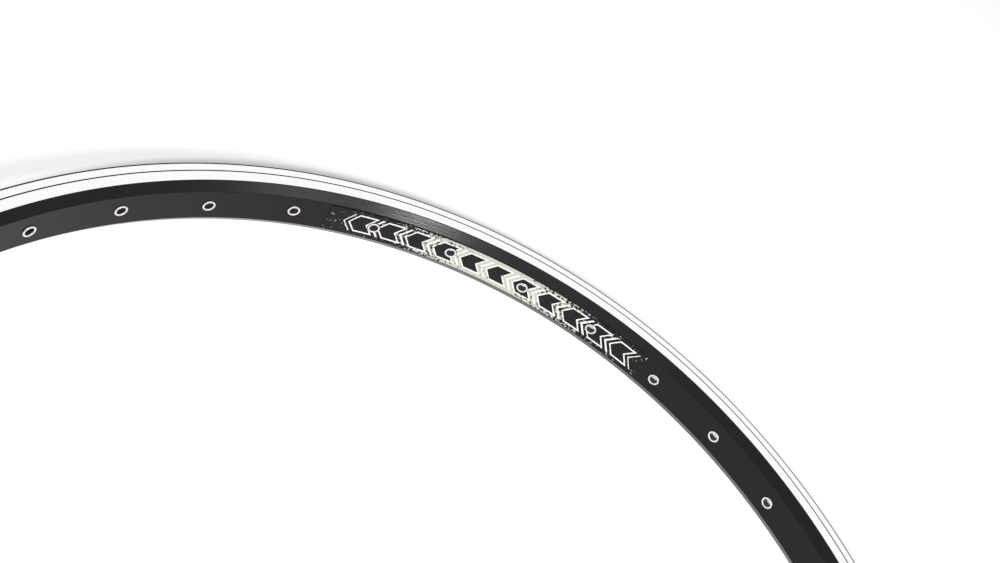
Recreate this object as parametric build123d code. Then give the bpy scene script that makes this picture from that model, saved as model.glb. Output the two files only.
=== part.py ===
from build123d import *
import math
import os

# Driving dimensions, in millimetres and degrees.
# The rim lies flat: its axis is +Z, and its centre is the origin.

# Tyre side, for a tyre of 559 x 24
bead_seat_diameter = 559.0
flange_height = 6.0
inside_width = 24.0
hook_height = 2.2
hook_undercut = 1.0
well_depth = 2.9
well_width = 14.0
well_slope = 2.5

# Outside of the section
overall_width = 30.0
section_height = 15.9
spoke_bed_width = 19.6
brake_track_height = 12.3

# Wear groove round the middle of each brake track
wear_groove_inset = 5.7
wear_groove_width = 0.75
wear_groove_depth = 0.45

# Walls of the extrusion
side_wall = 1.6
shoulder_wall = 1.4
bed_wall = 1.9
bridge_wall = 1.2

# Rounding of the extrusion's corners
bed_edge_rounding = 0.8
shoulder_rounding = 0.4
groove_rounding = 0.08
track_edge_rounding = 0.5
hook_rounding = 1.1
undercut_rounding = 0.5
bead_corner_rounding = 0.6
well_rounding = 1.5
chamber_rounding = 0.6

# Spoke holes, alternately a little to each side of the middle
spoke_count = 36
spoke_stagger = 0.36
access_hole_diameter = 10.5

# Eyelet pressed through each spoke hole
eyelet_bore = 4.6
eyelet_wall = 0.55
eyelet_fit = 0.18
eyelet_flange_diameter = 7.0
eyelet_flange_thickness = 0.75
eyelet_flange_rounding = 0.5
eyelet_flare_diameter = 7.2
eyelet_flare_thickness = 0.6
eyelet_flare_rounding = 0.35
seat_gap = 0.1

# Valve hole, and the butt seam across from it
valve_hole_diameter = 8.5
valve_angle = 0.0
seam_angle = 180.0
seam_gap = 0.1
sleeve_length = 32.0
sleeve_fit = 0.1

# Printed film on the spoke bed, a quarter turn from the valve
decal_angle = 89.0
decal_length = 206.0
decal_width = 18.2
decal_thickness = 0.15
decal_adhesive = 0.15
decal_hole_clearance = 0.3

# Places that follow from the sizes above
bead_seat_radius = bead_seat_diameter / 2
outer_radius = bead_seat_radius + flange_height
bed_radius = outer_radius - section_height
track_inner_radius = outer_radius - brake_track_height
wear_groove_radius = outer_radius - wear_groove_inset
well_radius = bead_seat_radius - well_depth
half_width = overall_width / 2
half_bed = spoke_bed_width / 2
half_well = well_width / 2
inner_wall_height = half_width - side_wall
spoke_pitch = 360 / spoke_count
eyelet_tube_diameter = eyelet_bore + 2 * eyelet_wall
spoke_hole_diameter = eyelet_tube_diameter + 2 * eyelet_fit
cut_margin = bed_wall / 2


def rounded_section(half):
    """A closed section, symmetric about the middle plane, from its upper half.

    Each corner is (radius from the rim's axis, height above the middle plane, rounding).
    """
    corners = half + [(radius, -height, rounding) for radius, height, rounding in reversed(half)]
    points = [(radius, height) for radius, height, _ in corners]
    roundings = [rounding for _, _, rounding in corners]
    return Plane.XZ * make_face(FilletPolyline(*points, radius=roundings, close=True))


def along_spoke(angle, radius, height=0.0):
    """The place at an angle and radius on the hoop, with its own Z pointing outward."""
    return Rot(0, 0, angle) * Pos(radius, 0, height) * Rot(0, 90, 0)


def drilled(diameter, inner_radius, depth, angle, height=0.0):
    """A drill's path along a spoke, from inner_radius outward."""
    drill = Cylinder(diameter / 2, depth, align=(Align.CENTER, Align.CENTER, Align.MIN))
    return along_spoke(angle, inner_radius, height) * drill


def arc_piece(section, middle_angle, arc):
    """A section carried round the rim's axis through an arc, centred on middle_angle."""
    return Rot(0, 0, middle_angle - arc / 2) * revolve(section, Axis.Z, revolution_arc=arc)


# Outline of the extrusion, from the spoke bed out over the brake track and down into the tyre well
groove_side = wear_groove_width / 2
hook_radius = outer_radius - hook_height
outline = [
    (bed_radius, half_bed, bed_edge_rounding),
    (track_inner_radius, half_width, shoulder_rounding),
    (wear_groove_radius - groove_side, half_width, groove_rounding),
    (wear_groove_radius, half_width - wear_groove_depth, groove_rounding),
    (wear_groove_radius + groove_side, half_width, groove_rounding),
    (outer_radius, half_width, track_edge_rounding),
    (outer_radius, inside_width / 2, hook_rounding),
    (hook_radius, inside_width / 2, undercut_rounding),
    (hook_radius - hook_undercut, inner_wall_height, undercut_rounding),
    (bead_seat_radius, inner_wall_height, bead_corner_rounding),
    (bead_seat_radius, half_well + well_slope, well_rounding),
    (well_radius, half_well, well_rounding),
]

# Outline of the hollow, one wall inside the bed, the shoulders, the sides and the tyre bridge
shoulder_slope = (track_inner_radius - bed_radius) / (half_width - half_bed)
shoulder_inset = shoulder_wall * math.hypot(1, shoulder_slope)
bridge_turn = math.atan2(well_depth, well_slope)
bridge_shift = bridge_wall * math.tan(bridge_turn / 2)
hollow = [
    (bed_radius + bed_wall, half_bed + (bed_wall - shoulder_inset) / shoulder_slope, chamber_rounding),
    (
        bed_radius + (inner_wall_height - half_bed) * shoulder_slope + shoulder_inset,
        inner_wall_height,
        chamber_rounding,
    ),
    (bead_seat_radius - bridge_wall, inner_wall_height, chamber_rounding),
    (bead_seat_radius - bridge_wall, half_well + well_slope + bridge_shift, chamber_rounding),
    (well_radius - bridge_wall, half_well + bridge_shift, chamber_rounding),
]
chamber = rounded_section(hollow)

# Spoke holes: even ones sit below the middle plane and odd ones above it
spokes = [
    (spoke_pitch * (index + 0.5), spoke_stagger if index % 2 else -spoke_stagger)
    for index in range(spoke_count)
]

# Hoop: the extrusion rolled round, with its ends butted at the seam, then drilled
seam_arc = math.degrees(seam_gap / bead_seat_radius)
hoop = arc_piece(rounded_section(outline) - chamber, seam_angle + 180, 360 - seam_arc)
bed_drill_depth = bed_wall + 2 * cut_margin
bridge_drill_start = well_radius - bridge_wall - cut_margin
bridge_drill_depth = bridge_wall + 2 * cut_margin
valve_drill_depth = well_radius - bed_radius + 2 * cut_margin
holes = [
    drilled(valve_hole_diameter, bed_radius - cut_margin, valve_drill_depth, valve_angle),
]
for angle, height in spokes:
    holes.append(drilled(spoke_hole_diameter, bed_radius - cut_margin, bed_drill_depth, angle, height))
    holes.append(drilled(access_hole_diameter, bridge_drill_start, bridge_drill_depth, angle, height))
hoop -= holes

# Eyelet: a tube with a rounded flange on the hub side, swaged over inside the hollow.
# The flange is flat, so it seats on the bed at its two ends along the hoop.
flange_seat = math.sqrt(bed_radius**2 - (eyelet_flange_diameter / 2) ** 2) - seat_gap
flare_seat = bed_radius + bed_wall + seat_gap - flange_seat
flare_end = flare_seat + eyelet_flare_thickness
eyelet_outline = [
    (eyelet_bore / 2, -eyelet_flange_thickness, eyelet_flange_rounding),
    (eyelet_flange_diameter / 2, -eyelet_flange_thickness, eyelet_flange_rounding),
    (eyelet_flange_diameter / 2, 0, 0),
    (eyelet_tube_diameter / 2, 0, 0),
    (eyelet_tube_diameter / 2, flare_seat, 0),
    (eyelet_flare_diameter / 2, flare_seat, 0),
    (eyelet_flare_diameter / 2, flare_end, eyelet_flare_rounding),
    (eyelet_bore / 2, flare_end, eyelet_flare_rounding),
]
eyelet_face = make_face(
    FilletPolyline(
        *[(radius, height) for radius, height, _ in eyelet_outline],
        radius=[rounding for _, _, rounding in eyelet_outline],
        close=True,
    )
)
eyelet = revolve(Plane.XZ * eyelet_face, Axis.Z)

# Joint sleeve: a plug in the hollow, reaching as far to each side of the seam
sleeve_arc = math.degrees(sleeve_length / (bed_radius + bed_wall))
sleeve = arc_piece(offset(chamber, amount=-sleeve_fit), seam_angle, sleeve_arc)

# Decal: a film on the spoke bed, cut square across, with a round hole for each eyelet it meets.
# Its layer of adhesive is left as a gap.
film_radius = bed_radius - decal_adhesive
film_arc = math.degrees(decal_length / bed_radius)
film_section = Plane.XZ * Pos(film_radius - decal_thickness / 2, 0) * Rectangle(decal_thickness, decal_width)
decal_hole_diameter = eyelet_flange_diameter + 2 * decal_hole_clearance
decal = arc_piece(film_section, decal_angle, film_arc) - [
    drilled(decal_hole_diameter, bed_radius - cut_margin, bed_drill_depth, angle, height)
    for angle, height in spokes
    if abs(angle - decal_angle) < film_arc / 2
]

os.makedirs("parts", exist_ok=True)
export_step(hoop, "parts/rim_hoop.step")
export_step(sleeve, "parts/joint_sleeve.step")
export_step(decal, "parts/decal.step")
for index, (angle, height) in enumerate(spokes):
    export_step(along_spoke(angle, flange_seat, height) * eyelet, f"parts/eyelet_{index + 1:02d}.step")
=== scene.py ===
import math

import bmesh
import bpy
import numpy as np
from mathutils import Matrix


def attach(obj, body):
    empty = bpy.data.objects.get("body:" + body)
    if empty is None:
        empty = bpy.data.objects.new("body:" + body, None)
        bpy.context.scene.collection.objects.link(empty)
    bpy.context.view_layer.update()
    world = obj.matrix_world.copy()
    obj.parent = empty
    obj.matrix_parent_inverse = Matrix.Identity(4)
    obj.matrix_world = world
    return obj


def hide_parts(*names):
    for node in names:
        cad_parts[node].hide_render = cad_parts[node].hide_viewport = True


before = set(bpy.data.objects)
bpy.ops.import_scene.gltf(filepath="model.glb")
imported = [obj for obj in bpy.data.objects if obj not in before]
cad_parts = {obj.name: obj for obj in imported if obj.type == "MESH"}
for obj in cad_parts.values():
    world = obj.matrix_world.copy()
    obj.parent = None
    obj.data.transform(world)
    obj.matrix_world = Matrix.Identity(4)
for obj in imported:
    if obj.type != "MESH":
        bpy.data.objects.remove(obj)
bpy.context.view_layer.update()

# Hoop
# One double-wall extrusion of aluminium, rolled into a ring and butted end to end at a hairline seam. It is
# drilled for the spokes and the valve and anodised black, and last the two brake tracks are turned back to
# bare metal, which leaves their edges and the wear groove black.
MM = 0.001

outer_radius = 285.5
bed_radius = 269.6
track_inner_radius = 273.2
groove_radius = 279.8
bead_seat_radius = 279.5
well_radius = 276.6
hook_radius = 283.3
half_width = 15.0
half_bed = 9.8
half_mouth = 12.0
half_well = 7.0
half_groove = 0.375
groove_depth = 0.45
edge_land = 1.3
edge_fall = 0.02
hook_undercut = 1.0
well_slope = 2.5

side_wall = 1.6
shoulder_wall = 1.4
bed_wall = 1.9
bridge_wall = 1.2

bed_edge_rounding = 0.8
shoulder_rounding = 0.4
groove_rounding = 0.08
land_rounding = 0.1
track_edge_rounding = 0.5
hook_rounding = 1.1
undercut_rounding = 0.5
bead_corner_rounding = 0.6
well_rounding = 1.5
chamber_rounding = 0.6

spoke_count = 36
spoke_pitch = 360 / spoke_count
spoke_stagger = 0.36
spoke_hole_radius = 3.03
access_hole_radius = 5.25
valve_hole_radius = 4.25
valve_angle = 360.0
half_valve_sector = 3.0
seam_angle = 180.0
seam_gap = 0.1
seam_depth = 0.3

step_angle = 1.0
side_steps = 6
sector_rows = 5
sector_crowding = 1.6
merge_distance = 0.002
crease_angle = 35.0


def mirrored(half):
    """A whole section from its upper half: the same corners follow below the middle plane, in reverse."""
    corners = np.array(half)
    return np.concatenate([corners, (corners * [1, -1, 1])[::-1]])


def rounded_outline(corners, arc_steps, lead):
    """The points of a closed outline whose corners are rows of (radius, height, rounding).

    Each corner becomes an arc about the point of its bisector that lies one rounding from both sides, swept
    evenly from one tangent point to the other. A further point, one lead along each side, keeps flats flat.
    """
    point, rounding = corners[:, None, :2], corners[:, None, 2:]
    back = np.roll(point, 1, 0) - point
    ahead = np.roll(point, -1, 0) - point
    back = back / np.linalg.norm(back, axis=2, keepdims=True)
    ahead = ahead / np.linalg.norm(ahead, axis=2, keepdims=True)
    half_angle = np.arccos((back * ahead).sum(2, keepdims=True)) / 2
    setback = rounding / np.tan(half_angle)
    bisector = (back + ahead) / (2 * np.cos(half_angle))
    centre = point + bisector * rounding / np.sin(half_angle)
    first, last = point + back * setback - centre, point + ahead * setback - centre
    sweep = math.pi - 2 * half_angle
    share = np.linspace(0, 1, arc_steps + 1)[None, :, None]
    arc = (np.sin((1 - share) * sweep) * first + np.sin(share * sweep) * last) / np.sin(sweep)
    parts = [point + back * (setback + lead), centre + arc, point + ahead * (setback + lead)]
    return np.concatenate(parts, axis=1).reshape(-1, 2)


def turned(outline, angles):
    """Carry an outline of (radius, height) round the axis: x = r cos a, y = r sin a, z = height."""
    radius, height = outline[None, :, 0], outline[None, :, 1]
    angle = np.radians(angles)[:, None]
    return np.stack([radius * np.cos(angle), radius * np.sin(angle), height + 0 * angle], axis=2)


def sunk(outline, depth):
    """The outline moved into the metal by a depth, at right angles to its direction of travel."""
    travel = np.gradient(outline, axis=0)
    travel = travel / np.linalg.norm(travel, axis=1, keepdims=True)
    return outline + depth * travel[:, ::-1] * [1, -1]


def drilled_sector(radius, half_height, angles, hole):
    """A sector of a cylindrical wall round one drilled hole of (angle, height, radius), rim first.

    Flat coordinates are (radius times the sine of the angle from the hole, height). There the points of the
    sector's edge are joined straight to as many points spaced evenly round the rim, turned to face them,
    and the result is wrapped back round the cylinder. That gives the rim the saddle shape of a drilled tube.
    """
    hole_angle, hole_height, hole_radius = hole
    rise = np.linspace(-half_height, half_height, side_steps + 1)
    low, high = np.full(len(angles) - 1, -half_height), np.full(len(angles) - 1, half_height)
    start, end = np.full(side_steps, angles[0]), np.full(side_steps, angles[-1])
    edge_angle = np.concatenate([angles[:-1], end, angles[:0:-1], start, angles[:1]])
    edge_height = np.concatenate([low, rise[:-1], high, rise[:0:-1], low[:1]])
    edge_across = radius * np.sin(np.radians(edge_angle - hole_angle))
    facing = np.unwrap(np.arctan2(edge_height - hole_height, edge_across))
    direction = np.linspace(0, 2 * math.pi, len(facing))
    direction += np.mean(facing - direction)
    share = np.linspace(0, 1, sector_rows)[:, None] ** sector_crowding
    across = (1 - share) * hole_radius * np.cos(direction) + share * edge_across
    height = (1 - share) * (hole_height + hole_radius * np.sin(direction)) + share * edge_height
    angle = np.radians(hole_angle) + np.arcsin(across / radius)
    return np.stack([radius * np.cos(angle), radius * np.sin(angle), height], axis=2)


def skin(name, grids):
    """One smooth mesh piece from grids of points in millimetres: a face between each four neighbours.

    Points that meet are merged, faces are turned outward, and edges sharper than the crease stay sharp.
    """
    faces, count = [], 0
    for grid in grids:
        rows, columns = grid.shape[:2]
        number = count + np.arange(rows * columns).reshape(rows, columns)
        corners = [number[:-1, :-1], number[1:, :-1], number[1:, 1:], number[:-1, 1:]]
        faces.append(np.stack(corners, axis=-1).reshape(-1, 4))
        count += rows * columns
    points = np.concatenate([grid.reshape(-1, 3) for grid in grids]) * MM
    mesh = bpy.data.meshes.new(name)
    mesh.from_pydata(points, [], np.concatenate(faces))
    shell = bmesh.new()
    shell.from_mesh(mesh)
    bmesh.ops.remove_doubles(shell, verts=shell.verts, dist=merge_distance * MM)
    bmesh.ops.recalc_face_normals(shell, faces=shell.faces)
    shell.to_mesh(mesh)
    shell.free()
    mesh.shade_smooth()
    mesh.set_sharp_from_angle(angle=math.radians(crease_angle))
    piece = bpy.data.objects.new(name, mesh)
    bpy.context.scene.collection.objects.link(piece)
    return piece


# The outside of the section, from the spoke bed over the brake track and the hook down to the tyre well
inner_wall = half_width - side_wall
outside = mirrored([
    (bed_radius, half_bed, bed_edge_rounding),
    (track_inner_radius, half_width, shoulder_rounding),
    (groove_radius - half_groove, half_width, groove_rounding),
    (groove_radius, half_width - groove_depth, groove_rounding),
    (groove_radius + half_groove, half_width, groove_rounding),
    (outer_radius - edge_land, half_width, land_rounding),
    (outer_radius, half_width - edge_fall, track_edge_rounding),
    (outer_radius, half_mouth, hook_rounding),
    (hook_radius, half_mouth, undercut_rounding),
    (hook_radius - hook_undercut, inner_wall, undercut_rounding),
    (bead_seat_radius, inner_wall, bead_corner_rounding),
    (bead_seat_radius, half_well + well_slope, well_rounding),
    (well_radius, half_well, well_rounding),
])
outside_points = rounded_outline(outside, arc_steps=4, lead=0.15)

# The hollow, one wall inside the bed, the shoulders, the sides and the tyre bridge
shoulder_slope = (track_inner_radius - bed_radius) / (half_width - half_bed)
shoulder_inset = shoulder_wall * math.hypot(1, shoulder_slope)
bridge_shift = bridge_wall * math.tan(math.atan2(bead_seat_radius - well_radius, well_slope) / 2)
hollow = mirrored([
    (bed_radius + bed_wall, half_bed + (bed_wall - shoulder_inset) / shoulder_slope, chamber_rounding),
    (bed_radius + (inner_wall - half_bed) * shoulder_slope + shoulder_inset, inner_wall, chamber_rounding),
    (bead_seat_radius - bridge_wall, inner_wall, chamber_rounding),
    (bead_seat_radius - bridge_wall, half_well + well_slope + bridge_shift, chamber_rounding),
    (well_radius - bridge_wall, half_well + bridge_shift, chamber_rounding),
])
hollow_points = rounded_outline(hollow, arc_steps=1, lead=0.1)

# The ring in sectors, one for each spoke and one for the valve, from the seam round to the seam again
spoke_number = np.arange(spoke_count)
spoke_angles = seam_angle + spoke_pitch * (spoke_number + 0.5)
spoke_heights = np.where(spoke_number % 2, spoke_stagger, -spoke_stagger)
sectors = [(valve_angle - half_valve_sector, valve_angle + half_valve_sector, valve_angle, 0.0)]
for angle, height in zip(spoke_angles, spoke_heights):
    start, end = angle - spoke_pitch / 2, angle + spoke_pitch / 2
    start += half_valve_sector if start == valve_angle else 0
    end -= half_valve_sector if end == valve_angle else 0
    sectors.append((start, end, angle, height))
sectors.sort()
sector_angles = [
    np.linspace(start, end, round((end - start) / step_angle) + 1) for start, end, _, _ in sectors
]
half_seam = math.degrees(seam_gap / 2 / bead_seat_radius)
sector_angles[0][0] += half_seam
sector_angles[-1][-1] -= half_seam
ring_angles = np.concatenate([angles[:-1] for angles in sector_angles] + [sector_angles[-1][-1:]])


def drilled_wall(radius, half_height, hole_radius):
    """The sectors of one drilled wall of the ring, in order, with the valve's hole at its own size."""
    wall = []
    for angles, (_, _, angle, height) in zip(sector_angles, sectors):
        hole = (angle, height, valve_hole_radius if angle == valve_angle else hole_radius)
        wall.append(drilled_sector(radius, half_height, angles, hole))
    return wall


def seam_strip(half_height, *edges):
    """The strip that closes a wall at the seam, over edges of (radius, angle) from one end to the other."""
    rise = np.linspace(-half_height, half_height, side_steps + 1)
    lines = [turned(np.stack([0 * rise + radius, rise], axis=1), [angle]) for radius, angle in edges]
    return np.concatenate(lines)


hoop_grids = []
for side in np.split(outside_points, 2):
    ring = turned(side, ring_angles)
    hoop_grids.append(np.concatenate([ring, turned(sunk(side, seam_depth), [seam_angle]), ring[:1]]))
for side in np.split(hollow_points, 2):
    ring = turned(side, ring_angles)
    hoop_grids.append(np.concatenate([ring, ring[:1]]))
bed_edges = outside_points[0], hollow_points[0]
bridge_edges = outside_points[len(outside_points) // 2], hollow_points[len(hollow_points) // 2]
drilled_walls = [
    (*bed_edges, spoke_hole_radius, seam_depth),
    (*bridge_edges, access_hole_radius, -seam_depth),
]
last, first = ring_angles[-1], ring_angles[0]
for (radius, height), (hollow_radius, hollow_height), hole_radius, groove in drilled_walls:
    height, hollow_height = abs(height), abs(hollow_height)
    shown = drilled_wall(radius, height, hole_radius)
    hidden = drilled_wall(hollow_radius, hollow_height, hole_radius)
    hoop_grids += shown + hidden
    hoop_grids += [np.stack([rim[0], hidden_rim[0]]) for rim, hidden_rim in zip(shown, hidden)]
    hoop_grids.append(seam_strip(height, (radius, last), (radius + groove, seam_angle), (radius, first)))
    hoop_grids.append(seam_strip(hollow_height, (hollow_radius, last), (hollow_radius, first)))
hoop = skin("hoop", hoop_grids)


def colour(code):
    """Linear colour of an sRGB hex code: c / 12.92 if dark, or else ((c + 0.055) / 1.055) ** 2.4."""
    channels = [int(code[start:start + 2], 16) / 255 for start in (1, 3, 5)]
    return [c / 12.92 if c <= 0.04045 else ((c + 0.055) / 1.055) ** 2.4 for c in channels] + [1.0]


def add_node(owner, kind, sockets={}, **settings):
    """Add a node with its settings, and give each named or numbered socket a value or another's output."""
    node = owner.node_tree.nodes.new(kind)
    for name, value in settings.items():
        setattr(node, name, value)
    for name, value in sockets.items():
        if isinstance(value, bpy.types.NodeSocket):
            owner.node_tree.links.new(value, node.inputs[name])
        else:
            node.inputs[name].default_value = value
    return node


def new_material(name):
    """An empty node material."""
    material = bpy.data.materials.new(name)
    material.use_nodes = True
    material.node_tree.nodes.clear()
    return material


def show(material, shader):
    """Send a shader node to the material's surface."""
    add_node(material, "ShaderNodeOutputMaterial", {"Surface": shader.outputs[0]})
    return material


def place_on_ring(material):
    """Sockets for the point, its radius, its height and its angle round the ring, in Object coordinates."""
    point = add_node(material, "ShaderNodeTexCoord").outputs["Object"]
    axes = add_node(material, "ShaderNodeSeparateXYZ", {0: point}).outputs
    level = add_node(material, "ShaderNodeCombineXYZ", {0: axes[0], 1: axes[1]}).outputs[0]
    radius = add_node(material, "ShaderNodeVectorMath", {0: level}, operation="LENGTH").outputs["Value"]
    angle = add_node(material, "ShaderNodeMath", {0: axes[1], 1: axes[0]}, operation="ARCTAN2").outputs[0]
    return point, radius, axes[2], angle


# Most values of a noise texture lie between these two. A colour mix takes its two colours in sockets 6 and 7.
noise_range = {"From Min": 0.3, "From Max": 0.7}


def black_anodised_aluminium():
    """Extruded aluminium, etched and dyed black in the anodising bath.

    The eye sees a satin black with fine die lines that run along the extrusion, and a soft bloom of
    reflected light that grows towards a glancing view.
    """
    material = new_material("black_anodised_aluminium")
    die_line, line_length, dye_patch, relief_depth = 0.35 * MM, 70 * MM, 25 * MM, 0.02 * MM
    point, radius, height, angle = place_on_ring(material)
    along = add_node(
        material, "ShaderNodeMath",
        {0: angle, 1: bed_radius * MM * die_line / line_length}, operation="MULTIPLY",
    )
    section = add_node(material, "ShaderNodeCombineXYZ", {0: radius, 1: height, 2: along.outputs[0]})
    lines = add_node(
        material, "ShaderNodeTexNoise", {"Vector": section.outputs[0], "Scale": 1 / die_line, "Detail": 3.0}
    )
    dye = add_node(material, "ShaderNodeTexNoise", {"Vector": point, "Scale": 1 / dye_patch, "Detail": 2.0})
    shade = add_node(
        material, "ShaderNodeMix",
        {"Factor": dye.outputs["Fac"], 6: colour("#0A060B"), 7: colour("#0F0A10")}, data_type="RGBA",
    )
    gloss = add_node(
        material, "ShaderNodeMapRange",
        {"Value": lines.outputs["Fac"], **noise_range, "To Min": 0.18, "To Max": 0.28},
    )
    relief = add_node(
        material, "ShaderNodeBump",
        {"Strength": 0.35, "Distance": relief_depth, "Height": lines.outputs["Fac"]},
    )
    return show(material, add_node(material, "ShaderNodeBsdfPrincipled", {
        "Base Color": shade.outputs[2], "Roughness": gloss.outputs[0], "IOR": 1.5,
        "Specular IOR Level": 0.2, "Normal": relief.outputs[0],
    }))


def machined_aluminium():
    """Bare aluminium, faced on a lathe after anodising.

    The eye sees a pale mirror-like band with fine rings from the tool. The real feed is about 0.15 mm, too
    fine to show, so the rings are drawn 0.6 mm apart.
    """
    material = new_material("machined_aluminium")
    feed, relief_depth = 0.6 * MM, 0.01 * MM
    _, radius, _, _ = place_on_ring(material)
    rings = add_node(
        material, "ShaderNodeTexNoise", {"W": radius, "Scale": 1 / feed, "Detail": 2.0},
        noise_dimensions="1D",
    )
    shade = add_node(
        material, "ShaderNodeMix",
        {"Factor": rings.outputs["Fac"], 6: colour("#F6F6F5"), 7: colour("#FFFFFE")}, data_type="RGBA",
    )
    gloss = add_node(
        material, "ShaderNodeMapRange",
        {"Value": rings.outputs["Fac"], **noise_range, "To Min": 0.2, "To Max": 0.34},
    )
    relief = add_node(
        material, "ShaderNodeBump",
        {"Strength": 0.3, "Distance": relief_depth, "Height": rings.outputs["Fac"]},
    )
    return show(material, add_node(material, "ShaderNodeBsdfPrincipled", {
        "Base Color": shade.outputs[2], "Metallic": 1.0, "Roughness": gloss.outputs[0],
        "Normal": relief.outputs[0],
    }))


def face_centres(piece):
    """The centre of each face of a piece, as rows of (x, y, z) in millimetres."""
    centres = np.empty(len(piece.data.polygons) * 3)
    piece.data.polygons.foreach_get("center", centres)
    return centres.reshape(-1, 3) / MM


track_tolerance = 0.002
hoop.data.materials.append(black_anodised_aluminium())
hoop.data.materials.append(machined_aluminium())
on_track = np.abs(face_centres(hoop)[:, 2]) > half_width - track_tolerance
hoop.data.polygons.foreach_set("material_index", on_track.astype(np.int32))
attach(hoop, "root")
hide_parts("rim_hoop")

# Eyelets
# A nickel-plated steel tube in each spoke hole, with a rounded flange on the hub side. It is put in from
# there and its far end is swaged over inside the hollow, so that it spreads the pull of the spoke's nipple.
eyelet_bore_radius = 2.3
eyelet_tube_radius = 2.85
eyelet_flange_radius = 3.5
eyelet_flange_thickness = 0.75
eyelet_flange_rounding = 0.5
eyelet_flare_radius = 3.6
eyelet_flare_thickness = 0.6
eyelet_flare_rounding = 0.35
barely_round = 0.03
seat_gap = 0.1
eyelet_steps = 48
painted_shade_from_depth = -0.3
painted_shade_within_radius = 1.05 * eyelet_bore_radius

flange_seat = math.sqrt(bed_radius**2 - eyelet_flange_radius**2) - seat_gap
flare_seat = bed_radius + bed_wall + seat_gap - flange_seat
flare_end = flare_seat + eyelet_flare_thickness
eyelet_corners = np.array([
    (eyelet_bore_radius, -eyelet_flange_thickness, eyelet_flange_rounding),
    (eyelet_flange_radius, -eyelet_flange_thickness, eyelet_flange_rounding),
    (eyelet_flange_radius, 0, barely_round),
    (eyelet_tube_radius, 0, barely_round),
    (eyelet_tube_radius, flare_seat, barely_round),
    (eyelet_flare_radius, flare_seat, barely_round),
    (eyelet_flare_radius, flare_end, eyelet_flare_rounding),
    (eyelet_bore_radius, flare_end, eyelet_flare_rounding),
])
eyelet_outline = rounded_outline(eyelet_corners, arc_steps=4, lead=0.03)
eyelet_outline = np.concatenate([eyelet_outline, eyelet_outline[:1]])


def eyelet_surface(angle, height):
    """The eyelet's outline of (radius, depth) turned about its spoke.

    A point lies flange_seat plus its depth out along the spoke, and radius times the cosine and sine of
    the turn along the hoop and up.
    """
    radius, depth = eyelet_outline[:, 0], flange_seat + eyelet_outline[:, 1]
    turn = np.radians(np.linspace(0, 360, eyelet_steps + 1))[:, None]
    outward = np.array([math.cos(angle), math.sin(angle), 0])
    along = np.array([-math.sin(angle), math.cos(angle), 0])
    upward = np.array([0, 0, 1])
    return (
        (depth + 0 * turn)[..., None] * outward
        + (radius * np.cos(turn))[..., None] * along
        + (radius * np.sin(turn) + height)[..., None] * upward
    )


def nickel_plate():
    """Bright nickel on pressed steel, barrel polished.

    The eye sees a warm silver with a soft, slightly uneven polish, and fine scuffs from handling.
    """
    material = new_material("nickel_plate")
    scuff, relief_depth = 0.9 * MM, 0.02 * MM
    point = add_node(material, "ShaderNodeTexCoord").outputs["Object"]
    polish = add_node(material, "ShaderNodeTexNoise", {"Vector": point, "Scale": 1 / scuff, "Detail": 4.0})
    shade = add_node(
        material, "ShaderNodeMix",
        {"Factor": polish.outputs["Fac"], 6: colour("#CBC5C7"), 7: colour("#E7E2E4")}, data_type="RGBA",
    )
    gloss = add_node(
        material, "ShaderNodeMapRange",
        {"Value": polish.outputs["Fac"], **noise_range, "To Min": 0.16, "To Max": 0.32},
    )
    relief = add_node(
        material, "ShaderNodeBump",
        {"Strength": 0.15, "Distance": relief_depth, "Height": polish.outputs["Fac"]},
    )
    return show(material, add_node(material, "ShaderNodeBsdfPrincipled", {
        "Base Color": shade.outputs[2], "Metallic": 1.0, "Roughness": gloss.outputs[0],
        "Normal": relief.outputs[0],
    }))


def dull_steel_and_painted_shade():
    """Steel in the bore, its thin plating dull: a dark grey with a fine grain, partly a painted shade of the
    bore.
    """
    material = new_material("dull_steel_and_painted_shade")
    grain_size = 0.4 * MM
    point = add_node(material, "ShaderNodeTexCoord").outputs["Object"]
    grain = add_node(
        material, "ShaderNodeTexNoise", {"Vector": point, "Scale": 1 / grain_size, "Detail": 3.0}
    )
    shade = add_node(
        material, "ShaderNodeMix",
        {"Factor": grain.outputs["Fac"], 6: colour("#3A3939"), 7: colour("#5C5A59")}, data_type="RGBA",
    )
    return show(material, add_node(material, "ShaderNodeBsdfPrincipled", {
        "Base Color": shade.outputs[2], "Metallic": 1.0, "Roughness": 0.5,
    }))


eyelet_materials = [nickel_plate(), dull_steel_and_painted_shade()]
for number, height in enumerate(spoke_heights):
    angle = math.radians(spoke_pitch * (number + 0.5))
    eyelet = skin(f"eyelet_ring_{number + 1:02d}", [eyelet_surface(angle, height)])
    for finish in eyelet_materials:
        eyelet.data.materials.append(finish)
    outward = np.array([math.cos(angle), math.sin(angle), 0])
    centres = face_centres(eyelet) - [0, 0, height]
    reach = centres @ outward
    from_spoke = np.linalg.norm(centres - np.outer(reach, outward), axis=1)
    # Faces inside the bore take the dark grey: painted shade in the bore, partly the dull thin plating there.
    in_bore = (from_spoke < painted_shade_within_radius) & (reach - flange_seat > painted_shade_from_depth)
    eyelet.data.polygons.foreach_set("material_index", in_bore.astype(np.int32))
    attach(eyelet, "root")
    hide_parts(f"eyelet_{number + 1:02d}")

# Joint sleeve
# A plug of plain extruded aluminium, pressed into the hollow at both ends of the hoop to hold the butt seam
# shut. It is hidden in the finished rim, so it keeps its plain solid.


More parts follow.
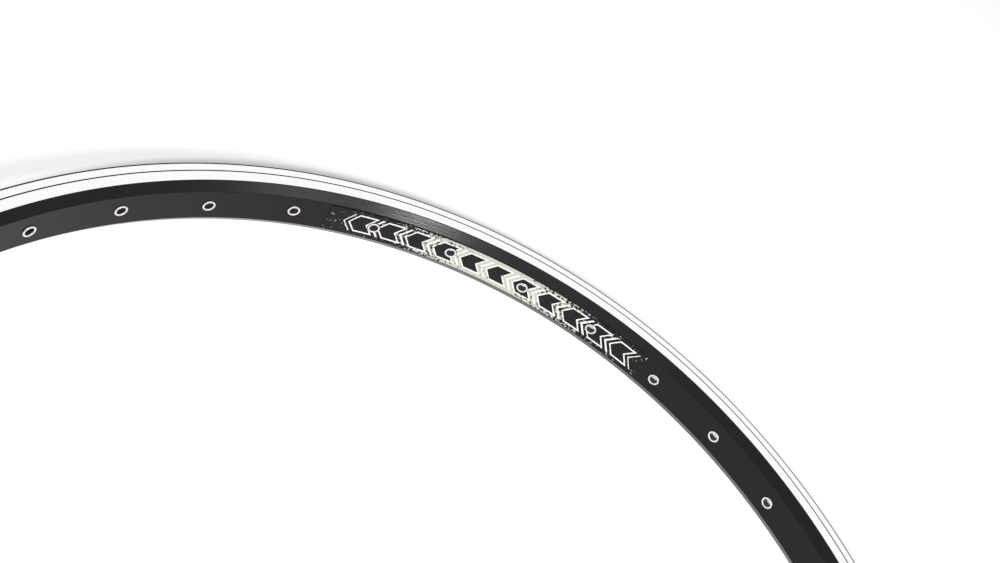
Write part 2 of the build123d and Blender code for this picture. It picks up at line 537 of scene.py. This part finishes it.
def extruded_aluminium():
    """Aluminium as it leaves the die, unpolished: a dull grey metal with long, faint die lines."""
    material = new_material("extruded_aluminium")
    die_line = 0.5 * MM
    _, radius, height, _ = place_on_ring(material)
    section = add_node(material, "ShaderNodeCombineXYZ", {0: radius, 1: height})
    lines = add_node(
        material, "ShaderNodeTexNoise", {"Vector": section.outputs[0], "Scale": 1 / die_line, "Detail": 2.0}
    )
    shade = add_node(
        material, "ShaderNodeMix",
        {"Factor": lines.outputs["Fac"], 6: colour("#A9AAAB"), 7: colour("#C4C5C6")}, data_type="RGBA",
    )
    gloss = add_node(
        material, "ShaderNodeMapRange",
        {"Value": lines.outputs["Fac"], **noise_range, "To Min": 0.4, "To Max": 0.55},
    )
    return show(material, add_node(material, "ShaderNodeBsdfPrincipled", {
        "Base Color": shade.outputs[2], "Metallic": 1.0, "Roughness": gloss.outputs[0],
    }))


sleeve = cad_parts["joint_sleeve"]
sleeve_finish = extruded_aluminium()
for material_slot in sleeve.material_slots:
    material_slot.material = sleeve_finish

# Decal
# A strip of printed vinyl film stuck round the spoke bed, with a hole punched for each eyelet it passes. Its
# print is cream and white on black, worn to speckles towards both ends.
decal_angle = 89.0
decal_length = 206.0
half_decal = 9.1
decal_thickness = 0.15
decal_adhesive = 0.15
decal_hole_radius = 3.8

chevron_count = 11
chevron_pitch = 17.0
half_chevron = 5.6
chevron_height = 6.6
chevron_outline = 1.0
chevron_lean = 0.75
half_stripe = 0.7
speckle_size = 1.6
field_worn_from = 12.0
field_worn_to = 70.0
field_cover = 0.64
worn_cover = 0.36
outline_cover = 0.63

film_radius = bed_radius - decal_adhesive
film_face_radius = film_radius - decal_thickness
half_film_arc = math.degrees(decal_length / 2 / bed_radius)
film_start, film_end = decal_angle - half_film_arc, decal_angle + half_film_arc
punched = [
    (spoke_pitch * number, spoke_pitch * (number + 1), height)
    for number, height in enumerate(spoke_heights)
    if film_start < spoke_pitch * number and spoke_pitch * (number + 1) < film_end
]
punched_angles = [np.linspace(start, end, round(spoke_pitch / step_angle) + 1) for start, end, _ in punched]
end_angles = [np.linspace(film_start, punched[0][0], 4), np.linspace(punched[-1][1], film_end, 2)]
film_angles = np.concatenate([
    end_angles[0][:-1], *[angles[:-1] for angles in punched_angles], end_angles[1]
])


def film_side(radius):
    """One side of the film: a drilled sector round each eyelet, and a plain grid at each end."""
    rise = np.linspace(-half_decal, half_decal, side_steps + 1)
    plain = np.stack([0 * rise + radius, rise], axis=1)
    around_eyelets = [
        drilled_sector(radius, half_decal, angles, ((start + end) / 2, height, decal_hole_radius))
        for angles, (start, end, height) in zip(punched_angles, punched)
    ]
    return around_eyelets, [turned(plain, angles) for angles in end_angles]


face_sectors, face_ends = film_side(film_face_radius)
back_sectors, back_ends = film_side(film_radius)
film_grids = face_sectors + face_ends + back_sectors + back_ends
film_grids += [np.stack([face[0], back[0]]) for face, back in zip(face_sectors, back_sectors)]
film_grids += [np.stack([face_ends[0][0], back_ends[0][0]]), np.stack([face_ends[1][-1], back_ends[1][-1]])]
for height in (-half_decal, half_decal):
    film_edge = np.array([(film_face_radius, height), (film_radius, height)])
    film_grids.append(turned(film_edge, film_angles))
film = skin("decal_film", film_grids)


def printed_vinyl():
    """Vinyl film, screen printed and laminated.

    The eye sees flat fields of ink under a satin surface: a row of black chevrons with white outlines and
    thin stripes between them, over a cream field that breaks up into speckles towards the ends. Each shape
    is a signed distance in metres: less than nought inside, and the greater of two where both must hold.
    """
    material = new_material("printed_vinyl")
    black, cream, white = colour("#0C080D"), colour("#BEBEB3"), colour("#EDEDE8")
    half_pitch = chevron_pitch / 2
    point, radius, height, angle = place_on_ring(material)
    along = add_node(
        material, "ShaderNodeMath",
        {0: angle, 1: bed_radius * MM, 2: -math.radians(decal_angle) * bed_radius * MM},
        operation="MULTIPLY_ADD",
    )
    rise = add_node(material, "ShaderNodeMath", {0: height}, operation="ABSOLUTE")
    leant = add_node(
        material, "ShaderNodeMath", {0: rise.outputs[0], 1: chevron_lean, 2: along.outputs[0]},
        operation="MULTIPLY_ADD",
    )
    from_centre = add_node(
        material, "ShaderNodeMath", {0: leant.outputs[0], 1: half_pitch * MM}, operation="PINGPONG"
    )
    past_side = add_node(
        material, "ShaderNodeMath", {0: from_centre.outputs[0], 1: half_chevron * MM}, operation="SUBTRACT"
    )
    past_top = add_node(
        material, "ShaderNodeMath", {0: rise.outputs[0], 1: chevron_height * MM}, operation="SUBTRACT"
    )
    past = add_node(
        material, "ShaderNodeMath", {0: past_side.outputs[0], 1: past_top.outputs[0]}, operation="MAXIMUM"
    )
    from_middle = add_node(material, "ShaderNodeMath", {0: leant.outputs[0]}, operation="ABSOLUTE")
    past_row = add_node(
        material, "ShaderNodeMath", {0: from_middle.outputs[0], 1: chevron_count * half_pitch * MM},
        operation="SUBTRACT",
    )
    chevron = add_node(
        material, "ShaderNodeMath", {0: past.outputs[0], 1: past_row.outputs[0]}, operation="MAXIMUM"
    )
    to_stripe = add_node(
        material, "ShaderNodeMath", {0: (half_pitch - half_stripe) * MM, 1: from_centre.outputs[0]},
        operation="SUBTRACT",
    )
    stripe_end = add_node(
        material, "ShaderNodeMath", {0: to_stripe.outputs[0], 1: past_top.outputs[0]}, operation="MAXIMUM"
    )
    stripe = add_node(
        material, "ShaderNodeMath", {0: stripe_end.outputs[0], 1: past_row.outputs[0]}, operation="MAXIMUM"
    )
    mark = add_node(
        material, "ShaderNodeMath", {0: chevron.outputs[0], 1: stripe.outputs[0]}, operation="MINIMUM"
    )
    in_mark = add_node(material, "ShaderNodeMath", {0: mark.outputs[0], 1: 0.0}, operation="LESS_THAN")
    in_chevron = add_node(
        material, "ShaderNodeMath", {0: chevron.outputs[0], 1: -chevron_outline * MM}, operation="LESS_THAN"
    )
    speckle = add_node(
        material, "ShaderNodeTexNoise",
        {"Vector": point, "Scale": 1 / (speckle_size * MM), "Detail": 3.0, "Roughness": 0.65},
    )
    unworn = add_node(
        material, "ShaderNodeMath", {0: speckle.outputs["Fac"], 1: outline_cover}, operation="LESS_THAN"
    )
    in_outline = add_node(
        material, "ShaderNodeMath", {0: in_mark.outputs[0], 1: unworn.outputs[0]}, operation="MULTIPLY"
    )
    distance = add_node(material, "ShaderNodeMath", {0: along.outputs[0]}, operation="ABSOLUTE")
    cover = add_node(material, "ShaderNodeMapRange", {
        "Value": distance.outputs[0], "From Min": field_worn_from * MM, "From Max": field_worn_to * MM,
        "To Min": field_cover, "To Max": worn_cover,
    })
    in_field = add_node(
        material, "ShaderNodeMath", {0: speckle.outputs["Fac"], 1: cover.outputs[0]}, operation="LESS_THAN"
    )
    ground = add_node(
        material, "ShaderNodeMix", {"Factor": in_field.outputs[0], 6: black, 7: cream}, data_type="RGBA"
    )
    outlined = add_node(
        material, "ShaderNodeMix",
        {"Factor": in_outline.outputs[0], 6: ground.outputs[2], 7: white}, data_type="RGBA",
    )
    ink = add_node(
        material, "ShaderNodeMix",
        {"Factor": in_chevron.outputs[0], 6: outlined.outputs[2], 7: black}, data_type="RGBA",
    )
    gloss = add_node(
        material, "ShaderNodeMapRange",
        {"Value": speckle.outputs["Fac"], **noise_range, "To Min": 0.3, "To Max": 0.42},
    )
    return show(material, add_node(material, "ShaderNodeBsdfPrincipled", {
        "Base Color": ink.outputs[2], "Roughness": gloss.outputs[0], "IOR": 1.5, "Specular IOR Level": 0.2,
    }))


film.data.materials.append(printed_vinyl())
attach(film, "root")
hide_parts("decal")

# Floor
# A pale, matt studio sweep that the rim lies on. Where the eye or a reflection meets it, it is lifted to
# white, and it keeps the rim's soft shadow. In a fixed ring round the rim it is lifted less: a painted
# shadow that deepens the cast one beside the rim's outer edge.
floor_reach = 6.0
painted_shadow_radius = 0.318
painted_shadow_core = 0.003
painted_shadow_reach = 0.016
painted_shadow_lift = 0.22
floor_lift = 0.52


def seen_ray(owner):
    """One where a ray comes from the camera, a reflection or a clear body, and nought for other light."""
    path = add_node(owner, "ShaderNodeLightPath").outputs
    seen = add_node(
        owner, "ShaderNodeMath", {0: path["Is Camera Ray"], 1: path["Is Glossy Ray"]}, operation="MAXIMUM"
    )
    return add_node(
        owner, "ShaderNodeMath", {0: seen.outputs[0], 1: path["Is Transmission Ray"]}, operation="MAXIMUM"
    ).outputs[0]


def studio_paper():
    """Matt white paper, lit as paper, lifted to white where it is seen and less in a ring: a painted shadow.
    """
    material = new_material("studio_paper")
    paper = add_node(material, "ShaderNodeBsdfDiffuse", {"Color": colour("#F4F4F3")})
    _, radius, _, _ = place_on_ring(material)
    from_shadow = add_node(material, "ShaderNodeMath", {0: radius, 1: painted_shadow_radius}, operation="SUBTRACT")
    beside = add_node(material, "ShaderNodeMath", {0: from_shadow.outputs[0]}, operation="ABSOLUTE")
    # The lift is lower in a ring round the painted shadow's radius, which paints the floor darker beside the
    # rim.
    share = add_node(material, "ShaderNodeMapRange", {
        "Value": beside.outputs[0], "From Min": painted_shadow_core, "From Max": painted_shadow_reach,
        "To Min": painted_shadow_lift, "To Max": floor_lift,
    })
    lift = add_node(
        material, "ShaderNodeMath", {0: seen_ray(material), 1: share.outputs[0]}, operation="MULTIPLY"
    )
    lifted = add_node(
        material, "ShaderNodeEmission", {"Color": colour("#FFFFFF"), "Strength": lift.outputs[0]}
    )
    return show(material, add_node(
        material, "ShaderNodeAddShader", {0: paper.outputs[0], 1: lifted.outputs[0]}
    ))


sheet = np.array([[-1, -1], [1, -1], [1, 1], [-1, 1]]) * floor_reach
floor_mesh = bpy.data.meshes.new("floor")
floor_mesh.from_pydata([(x, y, -half_width * MM) for x, y in sheet], [], [(0, 1, 2, 3)])
floor_mesh.materials.append(studio_paper())
floor = bpy.data.objects.new("floor", floor_mesh)
bpy.context.scene.collection.objects.link(floor)

# Light
# Softboxes in a white room that fills the rest. The main one stands well behind the camera and puts a narrow
# shadow beyond the rim, and a second one to its left a faint shadow at the right. The others are weak: one
# puts a bloom on the upper shoulder, one lifts the shoulder's left end and a broad one its right end.
room_fill = 0.2
room_white = 1.0
world = bpy.data.worlds.new("white_room")
world.use_nodes = True
world.node_tree.nodes.clear()
fill = add_node(world, "ShaderNodeBackground", {"Color": colour("#FFFFFF"), "Strength": room_fill})
seen_white = add_node(world, "ShaderNodeBackground", {"Color": colour("#FFFFFF"), "Strength": room_white})
room = add_node(
    world, "ShaderNodeMixShader", {0: seen_ray(world), 1: fill.outputs[0], 2: seen_white.outputs[0]}
)
add_node(world, "ShaderNodeOutputWorld", {"Surface": room.outputs[0]})
bpy.context.scene.world = world


def softbox(name, direction, distance, size, energy):
    """A round softbox at a distance in a direction from the far arc, turned to face it."""
    light = bpy.data.lights.new(name, "AREA")
    light.shape = "DISK"
    light.size = size
    light.energy = energy
    lamp = bpy.data.objects.new(name, light)
    bpy.context.scene.collection.objects.link(lamp)
    facing = np.array(direction) / np.linalg.norm(direction)
    sideways = np.cross([0.0, 0.0, 1.0], facing)
    sideways = sideways / np.linalg.norm(sideways)
    place = np.array([0.0, bed_radius * MM, 0.0]) + distance * facing
    turn = np.eye(4)
    turn[:3, :4] = np.stack([sideways, np.cross(facing, sideways), facing, place], axis=1)
    lamp.matrix_world = Matrix(turn.tolist())
    return lamp


main = softbox("main_softbox", (-0.03, -0.79, 0.61), distance=4.0, size=0.28, energy=92.0)
left = softbox("left_softbox", (-0.5, -0.65, 0.52), distance=4.0, size=0.3, energy=44.0)
for lamp in (main, left):
    lamp.visible_glossy = False
softbox("shoulder_softbox", (0.378, -0.801, 0.463), distance=1.3, size=0.1, energy=2.6)
softbox("side_softbox", (0.617, -0.662, 0.423), distance=1.25, size=0.28, energy=0.95)
softbox("broad_softbox", (0.05, -0.86, 0.5), distance=1.4, size=1.0, energy=1.5)

# Camera
# It looks down across the ring at the far arc, as the photograph does. Its place and turn are fitted to the
# photograph's eyelets and edges, for a frame 1000 pixels wide.
frame_width = 1000
focal_pixels = 1150
camera_right = np.array([0.882876, 0.129861, 0.451294])
camera_look = np.array([0.21637, 0.740434, -0.63635])
camera_up = np.cross(camera_right, camera_look)
camera_place = np.array([-133.93, -225.722, 421.183]) * MM
camera = bpy.data.cameras.new("camera")
camera.sensor_fit = "HORIZONTAL"
camera.sensor_width = 36.0
camera.lens = camera.sensor_width * focal_pixels / frame_width
camera.clip_start = 0.01
camera_turn = np.eye(4)
camera_turn[:3, :4] = np.stack([camera_right, camera_up, -camera_look, camera_place], axis=1)
eye = bpy.data.objects.new("camera", camera)
bpy.context.scene.collection.objects.link(eye)
eye.matrix_world = Matrix(camera_turn.tolist())
bpy.context.scene.camera = eye
bpy.context.scene.view_settings.view_transform = "Standard"
